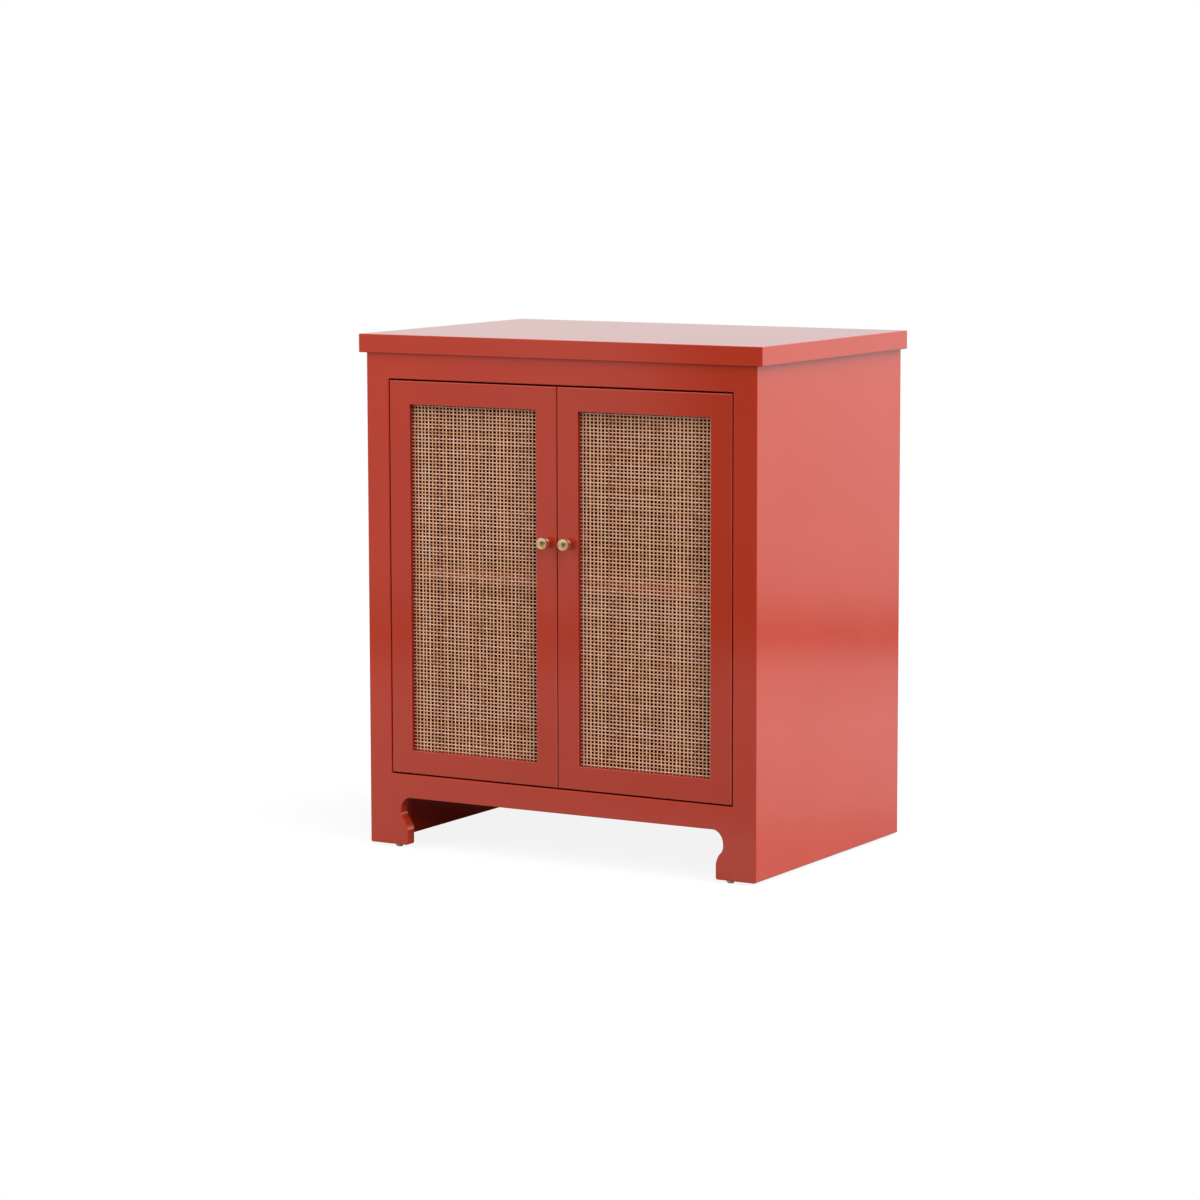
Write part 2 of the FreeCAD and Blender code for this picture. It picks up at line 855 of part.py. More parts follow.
def magnets(grow=0):
    y = (catch_front - grow, catch_front + magnet_depth + grow)
    half_z = magnet_height / 2 + grow
    half_x = magnet_width / 2 + grow
    z = (strike_z - half_z, strike_z + half_z)
    return [box((x - half_x, x + half_x), y, z) for x in (-magnet_offset, magnet_offset)]


def catch_body():
    half = catch_width / 2
    y = (catch_front, catch_front + catch_depth)
    body = box((-half, half), y, (door_top - catch_height, door_top))
    return less(body, magnets(fit) + catch_screw_shafts(fit))


def catch_screws():
    length = catch_height + catch_screw_bite
    screw = pan_screw(length, small_screw_radius, small_screw_head, pan_height)
    return group([placed(screw, p, up) for p in catch_screw_places()])


def shelf_pin(y):
    """A pin in the left side: a peg, a collar and a tongue with a flat top for the shelf."""
    face = V(-inner_half, y, shelf_pin_z)
    peg = rod(shelf_pin_radius, face, left, shelf_pin_depth)
    collar = rod(shelf_collar_radius, face, right, shelf_collar_thickness)
    tongue = rod(shelf_tongue_radius, face, right, shelf_pin_reach)
    above = box(
        (-inner_half, -inner_half + shelf_pin_reach + past),
        (y - shelf_collar_radius, y + shelf_collar_radius),
        (shelf_pin_z + shelf_tongue_flat, shelf_pin_z + shelf_collar_radius + past),
    )
    return peg.fuse([collar, tongue.cut(above)]).removeSplitter()


def shelf_pins():
    pins = [shelf_pin(y) for y in shelf_pin_columns()]
    return group(pins + [mirrored(pin) for pin in pins])


def shelf():
    half = inner_half - shelf_end_clearance
    y = (frame_back + shelf_front_setback, back_face - shelf_back_clearance)
    z = (shelf_bottom, shelf_bottom + shelf_thickness)
    run = (-half - past, half + past)
    lower = edge_cut(0, run, (y[0], z[0]), (1, 1), board_round)
    upper = edge_cut(0, run, (y[0], z[1]), (1, -1), board_round)
    return less(box((-half, half), y, z), [lower, upper])


# Every node, by name
nodes = {
    "top_slab": slab(),
    "left_side_panel": left_side(),
    "back_panel": back_panel(),
    "bottom_panel": bottom_panel(),
    "left_stile": left_stile(),
    "top_rail": top_rail(),
    "apron": apron(),
    "left_foot_bracket": left_bracket(),
    "front_stretcher": stretcher(frame_back),
    "back_stretcher": stretcher(back_face - stretcher_width),
    "corner_blocks": corner_blocks(),
    "glides": glides(),
    "slab_screws": slab_screws(),
    "back_panel_screws": back_screws(),
    "stretcher_dowels": dowels(),
    "catch_block": catch_block(),
    "catch_body": catch_body(),
    "catch_magnets": group(magnets()),
    "catch_screws": catch_screws(),
    "shelf_pins": shelf_pins(),
    "shelf": shelf(),
    "left_frame_pivot_plates": frame_plates(),
    "left_pivot_pins": pivot_pins(),
    "left_pivot_washers": washers(),
    "frame_plate_screws": frame_plate_screws(),
    "left_door_hinge_stile": hinge_stile(),
    "left_door_meeting_stile": meeting_stile(),
    "left_door_top_rail": door_rail(door_top, -1),
    "left_door_bottom_rail": door_rail(door_bottom, 1),
    "left_cane_panel": cane_panel(),
    "left_cane_strips": cane_strips(),
    "left_strip_brads": group(brads()),
    "left_door_pivot_plates": door_plates(),
    "left_door_plate_screws": door_plate_screws(),
    "left_knob": knob(),
    "left_knob_rosette": rosette(),
    "left_knob_screw": knob_screw(),
    "left_strike_plate": strike_plate(),
    "left_strike_screw": strike_screw(),
}
for name in list(nodes):
    if name.startswith("left_"):
        nodes[name.replace("left_", "right_", 1)] = mirrored(nodes[name])

os.makedirs("parts", exist_ok=True)
for name, shape in nodes.items():
    shape.exportStep("parts/" + name + ".step")
print(len(nodes), "nodes written")
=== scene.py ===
import bpy
import json
import math
import random
from mathutils import Matrix, Vector


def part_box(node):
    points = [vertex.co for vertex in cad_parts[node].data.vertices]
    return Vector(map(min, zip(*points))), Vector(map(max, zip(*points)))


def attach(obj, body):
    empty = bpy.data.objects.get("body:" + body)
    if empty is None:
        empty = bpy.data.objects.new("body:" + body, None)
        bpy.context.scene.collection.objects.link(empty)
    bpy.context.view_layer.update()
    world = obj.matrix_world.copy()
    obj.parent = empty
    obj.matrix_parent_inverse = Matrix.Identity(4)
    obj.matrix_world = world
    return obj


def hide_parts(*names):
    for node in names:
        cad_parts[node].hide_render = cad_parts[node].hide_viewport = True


# Lengths are in metres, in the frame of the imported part. The CAD nodes stay as they are and get
# their finishes here. The cane panels are woven strand by strand.

# Camera: its angles are in degrees, its lens and sensor in millimetres
camera_place = (3.2798, -5.6898, 1.2441)
camera_yaw = 30.44
camera_pitch = -7.216
camera_roll = -0.12
camera_lens = 117.74
camera_sensor = 36
camera_reach = 100

# Light
sky_light = 0.40
key_light = 3.35
key_towards = (0.62, -0.06, 0.55)
key_angle = 75.0
front_light = 33.0
front_place = (-2.1, -2.3, 1.5)
front_size = 1.8
front_target = (0, 0, 0.45)

# Floor: its size, the tones that light the part, that mirrors see and that show, its own glow, and
# how far from the middle mirrors begin to lose it and lose it altogether
floor_radius = 1.6
floor_sides = 96
floor_bounce = (0.18, 0.18, 0.18, 1)
floor_pale = (0.72, 0.72, 0.72, 1)
floor_white = (0.15, 0.15, 0.15, 1)
floor_glow = 0.88
floor_mirror_near = 0.5
floor_mirror_far = 0.8

# What mirrors see: how bright the studio is, by one number of the ray's direction. Behind the
# part on the right and at the seam it goes by the height, and in front by the sideways part.
behind_left_share = 0.76
right_shares = (
    (-0.181, 0.92),
    (-0.165, 1.11),
    (-0.157, 1.17),
    (-0.1472, 1.06),
    (-0.1425, 0.97),
    (-0.140, 0.81),
    (-0.1376, 0.58),
    (-0.134, 0.43),
    (-0.1304, 0.60),
    (-0.1231, 0.95),
    (-0.111, 1.11),
    (-0.0743, 1.29),
    (-0.063, 1.39),
)
wall_shares = (
    (-1, 1.0),
    (-0.7, 0.6),
    (-0.552, 0.53),
    (-0.512, 0.73),
    (-0.50, 0.70),
    (-0.482, 0.14),
    (0.3, 0.15),
    (0.8, 0.35),
)
ground_shares = (
    (-1, 0.9),
    (-0.552, 0.74),
    (-0.51, 0.67),
    (-0.48, 0.56),
    (0.2, 0.5),
    (0.7, 0.6),
)
seam_shares = (
    (-0.145, 1),
    (-0.139, 0.62),
    (-0.1345, 0.38),
    (-0.131, 0.55),
    (-0.124, 0.95),
    (-0.118, 1),
)

# Where one side of that studio gives way to the next, by the ray's direction
floor_span = (-0.138, -0.128)
overhead_span = (0.25, 0.6)
right_span = (-0.3, 0.3)
behind_span = (-0.3, 0.1)

# Woven cane. A strand lies up to its shift beside its even place.
strand_pitch_x = 0.0069
strand_pitch_z = 0.00587
upright_width = 0.0027
cross_width = 0.0022
upright_shift = 0.00045
cross_shift = 0.0002
strand_thickness = 0.0004
weave_rise = 0.00038
steps_per_crossing = 3
strand_end_gap = 0.0004
weave_margin = 0.001625
weave_seeds = {"left": 5, "right": 8}

# How strands stray: in width, by waves with a size and a number of radians to the metre, and in
# tone, where uprights come in bundles
width_stray_share = 0.12
wide_wander = (0.00010, 31)
fine_wander = (0.00007, 97)
width_swell = (0.06, 170)
upright_tone = 0.45
upright_tone_stray = 0.2
bundle_tone = 0.13
bundle_turn = 0.55
cross_tone = 0.5
cross_tone_stray = 0.22

# Knobs: how far the painted dark reflection on their faces reaches from their axis and how much of
# it the left side has, the tone of the painted warm reflection on their lower half, and the tones
# of the painted highlight and shade on their rosettes
# Painted dark reflection on the knobs' faces.
dark_reflection_start = 0.0034
dark_reflection_end = 0.0064
left_dark_reflection_share = 0.3
# Painted warm reflection on the knobs' lower halves.
warm_painted_reflection = (0.82, 0.45, 0.18, 1)
warm_reflection_share = 0.95
rosette_blend = 0.001
# Painted highlight and shade on the rosettes.
rosette_painted_shade = (0.50, 0.20, 0.16, 1)
rosette_painted_highlight = (1.0, 0.76, 0.60, 1)
rosette_painted_share = 0.85

# Lacquer: its gloss on faces and on rounded edges, and how far between straight aside (0) and
# straight ahead (1) rounded edges look, as a middle and a reach to both sides
lacquer_ior = 1.52
face_gloss = 0.5
carcass_edge_gloss = 0.15
door_edge_gloss = 1.5
rounded_middle_share = 0.55
rounded_reach_share = 0.37

# Where the lacquer has painted shade: darker in the reveals and gaps, from just behind the rounded
# edges to just short of the backs, and near-black inside the carcass. At their other ends both
# places reach a little past the faces there.
shade_start_depth = 0.0019
past_face = 0.0002
# Painted shade: the darker lacquer of the reveals and gaps, and the near-black of the carcass's
# inside.
reveal_painted_shade = (0.28, 0.012, 0.006, 1)
interior_painted_shade = (0.045, 0.007, 0.005, 1)

# Textures: each grain is a noise's scale and detail, each stretch its scale along each axis, each
# relief the depth and strength of its bumps, and each haze a roughness or its range. Most of a
# noise lies in noise_span.
noise_span = (0.3, 0.7)
coat_grain = (5.0, 3.0)
coat_span = (0.35, 0.65)
haze_grain = (40.0, 4.0)
lacquer_haze = (0.035, 0.06)
# The roughness where the lacquer has painted shade.
painted_shade_haze = 0.6
reveal_shade_haze = 0.5
peel_grain = (240.0, 1.0)
peel_relief = (0.00002, 0.12)
ripple_grain = (14.0, 1.0)
ripple_relief = (0.0002, 0.1)
wood_stretch = (90, 90, 5)
wood_grain = (1.0, 5.0)
wood_haze = (0.7, 0.5)
wood_relief = (0.0004, 0.4)
upright_stretch = (900, 900, 30)
cross_stretch = (30, 900, 900)
streak_grain = (1.0, 3.0)
streak_tones = (-0.14, 0.14)
patch_grain = (60.0, 2.0)
patch_tones = (-0.12, 0.12)
cane_haze = (0.32, 0.55)
cane_relief = (0.0001, 0.5)
tarnish_grain = (400.0, 3.0)
tarnish_tones = (-0.08, 0.12)
smear_grain = (700.0, 2.0)
brass_haze = (0.22, 0.36)
turning_rate = 16000.0
turning_relief = (0.00001, 0.15)
bloom_grain = (500.0, 4.0)
bloom_relief = (0.00001, 0.3)
dimness_grain = (900.0, 2.0)
plated_haze = (0.25, 0.42)
grit_grain = (1500.0, 4.0)
grit_relief = (0.00003, 0.4)
ferrite_haze = (0.45, 0.65)
ferrite_metal_share = 0.3
cloud_grain = (60.0, 3.0)
spark_grain = (1800.0, 2.0)
spark_relief = (0.00004, 0.35)
moulded_haze = (0.42, 0.6)

# Cane: its colours from dark to light, where the lightest three have less blue on uprights, and
# the tones at which they lie
cane_gloss = 0.9
cane_tone_shares = (0.0, 0.3, 0.55, 0.8, 1.0)
cane_darks = ((0.48, 0.21, 0.10), (0.80, 0.37, 0.18))
cross_lights = ((0.96, 0.51, 0.36), (1.0, 0.58, 0.44), (0.98, 0.64, 0.33))
upright_lights = ((0.96, 0.51, 0.26), (1.0, 0.58, 0.38), (0.98, 0.64, 0.25))

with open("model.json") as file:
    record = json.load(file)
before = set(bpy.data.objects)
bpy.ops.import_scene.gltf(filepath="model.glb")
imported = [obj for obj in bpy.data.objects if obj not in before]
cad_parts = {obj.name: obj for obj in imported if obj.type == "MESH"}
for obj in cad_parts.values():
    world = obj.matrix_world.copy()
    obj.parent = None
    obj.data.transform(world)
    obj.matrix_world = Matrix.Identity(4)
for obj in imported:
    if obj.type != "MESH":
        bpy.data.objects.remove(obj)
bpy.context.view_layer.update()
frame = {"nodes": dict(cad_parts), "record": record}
nodes = frame["nodes"]
knob_low, knob_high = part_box("right_knob")
knob_place = (knob_low + knob_high) / 2
knob_half = (knob_high.z - knob_low.z) / 2
rosette_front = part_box("right_knob_rosette")[0].y


# Building node trees

def add(tree, kind, inputs=(), **settings):
    """A new node. Each input is given as a value, or as the socket that feeds it."""
    made = tree.nodes.new(kind)
    for name, value in settings.items():
        setattr(made, name, value)
    for name, value in dict(inputs).items():
        give(tree, made.inputs[name], value)
    return made


def give(tree, socket, value):
    if isinstance(value, bpy.types.NodeSocket):
        tree.links.new(value, socket)
    else:
        socket.default_value = value


def math_node(tree, operation, *values):
    made = add(tree, "ShaderNodeMath", operation=operation)
    for socket, value in zip(made.inputs, values):
        give(tree, socket, value)
    return made.outputs[0]


def mixed(tree, share, first, second):
    """Between two numbers, by a share."""
    inputs = {"Factor": share, "A": first, "B": second}
    return add(tree, "ShaderNodeMix", inputs, data_type="FLOAT").outputs["Result"]


def blended(tree, share, first, second):
    """Between two colours, by a share."""
    made = add(tree, "ShaderNodeMix", data_type="RGBA")
    sockets = [socket for socket in made.inputs if socket.enabled]
    for socket, value in zip(sockets, (share, first, second)):
        give(tree, socket, value)
    return [socket for socket in made.outputs if socket.enabled][0]


def own_place(tree, stretch=(1, 1, 1)):
    """The piece's own coordinates, scaled along each axis."""
    coordinates = add(tree, "ShaderNodeTexCoord")
    inputs = {"Vector": coordinates.outputs["Object"], "Scale": stretch}
    return add(tree, "ShaderNodeMapping", inputs).outputs["Vector"]


def noise(tree, where, scale, detail):
    inputs = {"Vector": where, "Scale": scale, "Detail": detail}
    return add(tree, "ShaderNodeTexNoise", inputs).outputs["Fac"]


def mapped(tree, value, start, end, low, high, smooth=False):
    """A value brought from start..end to low..high."""
    inputs = {"Value": value, "From Min": start, "From Max": end, "To Min": low, "To Max": high}
    kind = "SMOOTHSTEP" if smooth else "LINEAR"
    return add(tree, "ShaderNodeMapRange", inputs, interpolation_type=kind).outputs["Result"]


def spread(tree, value, low, high):
    """A noise brought to low..high."""
    return mapped(tree, value, *noise_span, low, high)


def ramp(tree, value, stops):
    """A colour by a value from 0 to 1. Each stop is a place and a colour."""
    made = add(tree, "ShaderNodeValToRGB", {"Fac": value})
    elements = made.color_ramp.elements
    while len(elements) < len(stops):
        elements.new(1.0)
    for element, (place, colour) in zip(elements, stops):
        element.position = place
        element.color = (*colour, 1)
    return made.outputs["Color"]


def graph(tree, value, points):
    """A number by another number, through (place, number) points given in rising order."""
    low, high = points[0][0], points[-1][0]
    top = max(number for place, number in points)
    stops = [((place - low) / (high - low), (number / top,) * 3) for place, number in points]
    share = mapped(tree, value, low, high, 0, 1)
    return math_node(tree, "MULTIPLY", ramp(tree, share, stops), top)


def bump(tree, height, distance, strength, normal=None):
    inputs = {"Height": height, "Distance": distance, "Strength": strength}
    if normal:
        inputs["Normal"] = normal
    return add(tree, "ShaderNodeBump", inputs).outputs["Normal"]


def finish(name, **sockets):
    """A material with a Principled shader, and its tree. Even values go on the shader's own
    sockets, written with underscores for spaces."""
    material = bpy.data.materials.new(name)
    material.use_nodes = True
    shader = material.node_tree.nodes["Principled BSDF"]
    for socket, value in sockets.items():
        shader.inputs[socket.replace("_", " ")].default_value = value
    return material, material.node_tree, shader.inputs


# Finishes

def shaded_shelf_lacquer(dark, light):
    """Gloss lacquer all over, in darker colours as painted shade."""
    material, tree, inputs = finish("shaded_shelf_lacquer", IOR=lacquer_ior)
    outside_look(tree, inputs, dark, light, carcass_edge_gloss)
    return material


def carcass_lacquer(dark, light):
    """Gloss lacquer outside, with darker painted shade on the edges of the doors' opening, and a
    dull, near-black painted shade inside the carcass."""
    material, tree, inputs = finish("carcass_lacquer", IOR=lacquer_ior)
    colour, haze = outside_look(tree, inputs, dark, light, carcass_edge_gloss)
    # Painted shade: darker, duller lacquer on the opening's reveals, and near-black inside the
    # carcass.
    reveal_shade = box_share(tree, opening_place())
    inside = box_share(tree, interior_place())
    colour = blended(tree, reveal_shade, colour, reveal_painted_shade)
    give(tree, inputs["Base Color"], blended(tree, inside, colour, interior_painted_shade))
    painted_light_and_shade = math_node(tree, "MAXIMUM", reveal_shade, inside)
    give(tree, inputs["Roughness"], mixed(tree, painted_light_and_shade, haze, painted_shade_haze))
    return material


def door_lacquer(dark, light):
    """Gloss lacquer on the doors, with darker painted shade on their edges and on the reveals of
    the cane.
    """
    material, tree, inputs = finish("door_lacquer", IOR=lacquer_ior)
    colour, haze = outside_look(tree, inputs, dark, light, door_edge_gloss)
    # Painted shade on the door edges and on the reveals of the cane.
    reveal_shade = box_share(tree, doors_place())
    give(tree, inputs["Base Color"], blended(tree, reveal_shade, colour, reveal_painted_shade))
    give(tree, inputs["Roughness"], mixed(tree, reveal_shade, haze, reveal_shade_haze))
    return material


def outside_look(tree, inputs, dark, light, edge_gloss):
    """Sets up coral-red gloss lacquer: a trace of uneven depth, fine orange peel, faint ripples,
    and another gloss on rounded edges. Gives its colour and roughness."""
    where = own_place(tree)
    gloss = mixed(tree, rounded_share(tree), face_gloss, edge_gloss)
    depth = mapped(tree, noise(tree, where, *coat_grain), *coat_span, 0, 1)
    colour = ramp(tree, depth, [(0, dark), (1, light)])
    haze = spread(tree, noise(tree, where, *haze_grain), *lacquer_haze)
    peel = bump(tree, noise(tree, where, *peel_grain), *peel_relief)
    ripples = bump(tree, noise(tree, where, *ripple_grain), *ripple_relief, peel)
    give(tree, inputs["Specular IOR Level"], gloss)
    give(tree, inputs["Base Color"], colour)
    give(tree, inputs["Roughness"], haze)
    give(tree, inputs["Normal"], ripples)
    return colour, haze


def rounded_share(tree):
    """1 on rounded edges, whose faces look neither straight ahead nor straight aside."""
    normal = add(tree, "ShaderNodeTexCoord").outputs["Normal"]
    facing = add(tree, "ShaderNodeSeparateXYZ", {"Vector": normal}).outputs["Y"]
    ahead = math_node(tree, "ABSOLUTE", facing)
    return math_node(tree, "COMPARE", ahead, rounded_middle_share, rounded_reach_share)


def box_share(tree, place):
    """1 on the faces inside a place, and 0 on the rest."""
    coordinates = add(tree, "ShaderNodeTexCoord").outputs["Object"]
    axes = add(tree, "ShaderNodeSeparateXYZ", {"Vector": coordinates}).outputs
    share = 1.0
    for axis, (low, high) in zip(axes, place):
        within = math_node(tree, "COMPARE", axis, (low + high) / 2, (high - low) / 2)
        share = math_node(tree, "MULTIPLY", within, share)
    return share


def interior_place():
    """The space inside the carcass, as spans along x, y and z."""
    return (
        past(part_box("left_side_panel")[1].x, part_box("right_side_panel")[0].x),
        past(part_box("apron")[1].y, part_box("back_panel")[0].y),
        past(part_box("bottom_panel")[1].z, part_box("top_slab")[0].z),
    )


def opening_place():
    """The doors' opening behind its rounded edges."""
    return (
        past(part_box("left_stile")[1].x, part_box("right_stile")[0].x),
        painted_shade_depth(),
        past(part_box("apron")[1].z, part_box("top_rail")[0].z),
    )


def doors_place():
    """Both doors between their rounded edges and their backs."""
    return (
        past(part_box("left_door_hinge_stile")[0].x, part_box("right_door_hinge_stile")[1].x),
        painted_shade_depth(),
        past(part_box("left_door_bottom_rail")[0].z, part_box("left_door_top_rail")[1].z),
    )


def painted_shade_depth():
    """The depth of the painted shade: from just behind the rounded edges to just short of the backs
    of the frame and doors.
    """
    low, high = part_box("apron")
    return low.y + shade_start_depth, high.y - past_face


def past(low, high):
    """A span that reaches a little past the faces at its ends."""
    return low - past_face, high + past_face


def bare_wood():
    material, tree, inputs = finish("bare_wood")
    grain = noise(tree, own_place(tree, wood_stretch), *wood_grain)
    share = spread(tree, grain, 0, 1)
    colours = [(0, (0.36, 0.21, 0.10)), (0.5, (0.52, 0.33, 0.17)), (1, (0.62, 0.43, 0.25))]
    give(tree, inputs["Base Color"], ramp(tree, share, colours))
    give(tree, inputs["Roughness"], spread(tree, grain, *wood_haze))
    give(tree, inputs["Normal"], bump(tree, grain, *wood_relief))
    return material


def cane(name, stretch, lights):
    """Split cane: each strand has its own tone, with streaks along it, and a glossy skin."""
    material, tree, inputs = finish(name, Specular_IOR_Level=cane_gloss)
    own_tone = add(tree, "ShaderNodeAttribute", attribute_name="tone").outputs["Fac"]
    streaks = noise(tree, own_place(tree, stretch), *streak_grain)
    patches = noise(tree, own_place(tree), *patch_grain)
    drift = math_node(tree, "ADD", spread(tree, streaks, *streak_tones), own_tone)
    tone = math_node(tree, "ADD", spread(tree, patches, *patch_tones), drift)
    colours = list(zip(cane_tone_shares, (*cane_darks, *lights)))
    give(tree, inputs["Base Color"], ramp(tree, tone, colours))
    give(tree, inputs["Roughness"], spread(tree, streaks, *cane_haze))
    give(tree, inputs["Normal"], bump(tree, streaks, *cane_relief))
    return material


def brass():
    """Polished brass with painted reflections. Each knob's face has uneven tarnish and a painted
    dark reflection inside its bead, most to the right, its lower half a painted warm reflection,
    and its rosette a painted highlight above and painted shade below."""
    material, tree, inputs = finish("brass", Metallic=1.0)
    where = own_place(tree)
    across, upward, depth = knob_offsets(tree)
    radius = length(tree, across, upward)
    # Painted dark reflection: a dark disc on each knob's face, strongest to the right, with uneven
    # tarnish from noise added.
    dark_reflection_disc = mapped(tree, radius, dark_reflection_start, dark_reflection_end, 1, 0, True)
    sideways = mapped(tree, across, -dark_reflection_start, dark_reflection_start, left_dark_reflection_share, 1, True)
    uneven = spread(tree, noise(tree, where, *tarnish_grain), *tarnish_tones)
    tarnish_and_dark_reflection = math_node(tree, "MULTIPLY_ADD", dark_reflection_disc, sideways, uneven)
    colours = [(0, (0.87, 0.65, 0.41)), (0.35, (0.64, 0.49, 0.26)), (1, (0.42, 0.28, 0.06))]
    # Painted warm reflection on the lower half of each knob.
    lower_warm_reflection = mapped(tree, upward, -knob_half, 0, warm_reflection_share, 0, True)
    brass_with_reflections = blended(tree, lower_warm_reflection, ramp(tree, tarnish_and_dark_reflection, colours), warm_painted_reflection)
    # Painted highlight and shade on each rosette: light above, dark red below, fading out towards
    # the knob's head.
    start = rosette_front - rosette_blend
    rosette_painted_mix = mapped(tree, depth, start, rosette_front, 0, rosette_painted_share, True)
    lit = mapped(tree, upward, 0, knob_half / 2, 0, 1, True)
    painted_light_and_shade = blended(tree, lit, rosette_painted_shade, rosette_painted_highlight)
    give(tree, inputs["Base Color"], blended(tree, rosette_painted_mix, brass_with_reflections, painted_light_and_shade))
    smears = noise(tree, where, *smear_grain)
    give(tree, inputs["Roughness"], spread(tree, smears, *brass_haze))
    turning = math_node(tree, "SINE", math_node(tree, "MULTIPLY", radius, turning_rate))
    give(tree, inputs["Normal"], bump(tree, turning, *turning_relief))
    return material


def knob_offsets(tree):
    """How far to the right of, and above, the axis of the nearer knob, and how far back."""
    coordinates = add(tree, "ShaderNodeTexCoord").outputs["Object"]
    axes = add(tree, "ShaderNodeSeparateXYZ", {"Vector": coordinates}).outputs
    side = math_node(tree, "SIGN", axes["X"])
    across = math_node(tree, "SUBTRACT", axes["X"], math_node(tree, "MULTIPLY", side, knob_place.x))
    return across, math_node(tree, "SUBTRACT", axes["Z"], knob_place.z), axes["Y"]


def length(tree, across, upward):
    square = math_node(tree, "MULTIPLY", across, across)
    return math_node(tree, "SQRT", math_node(tree, "MULTIPLY_ADD", upward, upward, square))


def plated(name, dark, light):
    """Plated metal with a fine uneven bloom."""
    material, tree, inputs = finish(name, Metallic=1.0)
    where = own_place(tree)
    bloom = spread(tree, noise(tree, where, *bloom_grain), 0, 1)
    give(tree, inputs["Base Color"], ramp(tree, bloom, [(0, dark), (1, light)]))
    dimness = noise(tree, where, *dimness_grain)
    give(tree, inputs["Roughness"], spread(tree, dimness, *plated_haze))
    give(tree, inputs["Normal"], bump(tree, bloom, *bloom_relief))
    return material


def ferrite():
    material, tree, inputs = finish("ferrite", Metallic=ferrite_metal_share)
    grit = spread(tree, noise(tree, own_place(tree), *grit_grain), 0, 1)
    colours = [(0, (0.03, 0.03, 0.033)), (1, (0.07, 0.07, 0.075))]
    give(tree, inputs["Base Color"], ramp(tree, grit, colours))
    give(tree, inputs["Roughness"], mapped(tree, grit, 0, 1, *ferrite_haze))
    give(tree, inputs["Normal"], bump(tree, grit, *grit_relief))
    return material


def moulded(name, dark, light):
    """Moulded plastic with a fine spark texture."""
    material, tree, inputs = finish(name)
    where = own_place(tree)
    cloud = spread(tree, noise(tree, where, *cloud_grain), 0, 1)
    give(tree, inputs["Base Color"], ramp(tree, cloud, [(0, dark), (1, light)]))
    spark = noise(tree, where, *spark_grain)
    give(tree, inputs["Roughness"], spread(tree, spark, *moulded_haze))
    give(tree, inputs["Normal"], bump(tree, spark, *spark_relief))
    return material


def look_of(part):
    """The name of a node's look: its material slot, but for the lacquer of doors and shelf."""
    if part["material_slot"] != "lacquer":
        return part["material_slot"]
    if part["node"] == "shelf":
        return "shelf"
    return "door" if "_door_" in part["node"] or "_cane_" in part["node"] else "lacquer"


def dress_nodes():
    """Gives each CAD node the finish of its material slot in the record."""
    looks = {
        "lacquer": carcass_lacquer((0.54, 0.0415, 0.0142), (0.565, 0.0445, 0.0158)),
        # The shelf's lacquer is painted darker than the outside, as shade inside the carcass.
        "shelf": shaded_shelf_lacquer((0.20, 0.020, 0.010), (0.23, 0.023, 0.012)),
        "door": door_lacquer((0.51, 0.039, 0.0134), (0.535, 0.042, 0.0149)),
        "bare_wood": bare_wood(),
        "brass": brass(),
        "zinc_steel": plated("zinc_steel", (0.44, 0.45, 0.47), (0.60, 0.60, 0.58)),
        "dark_bronze": plated("dark_bronze", (0.030, 0.016, 0.010), (0.055, 0.030, 0.019)),
        "magnet": ferrite(),
        "catch_plastic": moulded("catch_plastic", (0.10, 0.055, 0.035), (0.13, 0.075, 0.05)),
        "glide_plastic": moulded("glide_plastic", (0.90, 0.68, 0.60), (0.96, 0.77, 0.69)),
        "cane": cane("cane_sheet", upright_stretch, cross_lights),
    }
    for part in frame["record"]["subparts"]:
        for slot in nodes[part["node"]].material_slots:
            slot.link = "OBJECT"
            slot.material = looks[look_of(part)]


# Cane panels

def weave(side):
    """Both sets of strands of one door's cane, which stand for its CAD sheet."""
    picker = random.Random(weave_seeds[side])
    low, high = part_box(side + "_cane_panel")
    columns = spread_strands(low.x, high.x, strand_pitch_x)
    rows = spread_strands(low.z, high.z, strand_pitch_z)
    uprights = [
        strand(picker, columns[i], rows, i, upright_width, upright_shift, bundled_tone(i, picker))
        for i in range(len(columns))
    ]
    crosses = [
        strand(picker, rows[i], columns, i + 1, cross_width, cross_shift, single_tone(picker))
        for i in range(len(rows))
    ]
    upright_look = cane("cane_upright_" + side, upright_stretch, upright_lights)
    cross_look = cane("cane_cross_" + side, cross_stretch, cross_lights)
    build_strands(side, "_cane_uprights", uprights, (2, 0), upright_look)
    build_strands(side, "_cane_crosses", crosses, (0, 2), cross_look)


def spread_strands(low, high, pitch):
    """The centre lines of strands a pitch apart that fill low..high evenly."""
    start, end = low + weave_margin, high - weave_margin
    count = round((end - start) / pitch)
    step = (end - start) / count
    return [start + step * (i + 0.5) for i in range(count)]


def bundled_tone(i, picker):
    """Uprights come in bundles of like tone."""
    bundle = bundle_tone * math.sin(bundle_turn * i)
    return upright_tone + bundle + picker.uniform(-upright_tone_stray, upright_tone_stray)


def single_tone(picker):
    """Each cross has a tone of its own."""
    return cross_tone + picker.uniform(-cross_tone_stray, cross_tone_stray)


